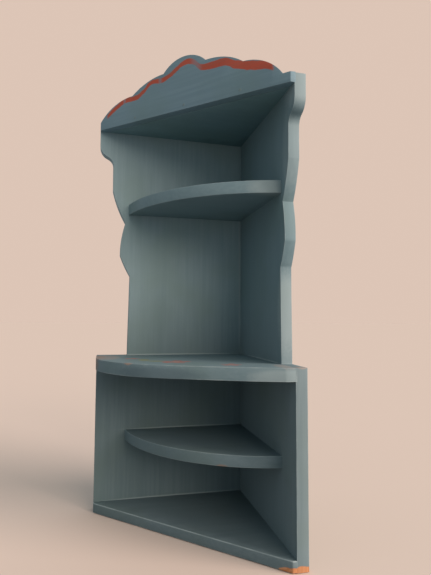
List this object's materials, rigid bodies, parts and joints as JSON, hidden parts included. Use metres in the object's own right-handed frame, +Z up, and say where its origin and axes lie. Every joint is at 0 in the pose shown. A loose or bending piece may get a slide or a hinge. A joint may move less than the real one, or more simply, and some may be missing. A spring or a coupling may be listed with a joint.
{
  "type": "corner wall shelf",
  "caption": "Small painted wooden corner shelf with scalloped side boards, round-fronted shelves and a scalloped crest.",
  "frame": {"origin": "the vertical line where the two wall planes meet, at the level of the shelf's underside", "axes": "+Z up; the left board's back lies on the wall plane y = 0 and the right board's back on the wall plane x = 0; the shelves open towards -X and -Y"},
  "size_m": [0.193, 0.193, 0.5153],
  "materials": {
    "blue_paint": "satin hand-brushed blue-green paint over softwood",
    "nail_steel": "plain steel, heads painted over"
  },
  "bodies": {
    "root": {"left_side_board": "blue_paint", "right_side_board": "blue_paint", "bottom_board": "blue_paint", "mid_shelf": "blue_paint", "counter_shelf": "blue_paint", "upper_shelf": "blue_paint", "top_board": "blue_paint", "crest_board": "blue_paint", "nails": "nail_steel"}
  },
  "joints": []
}
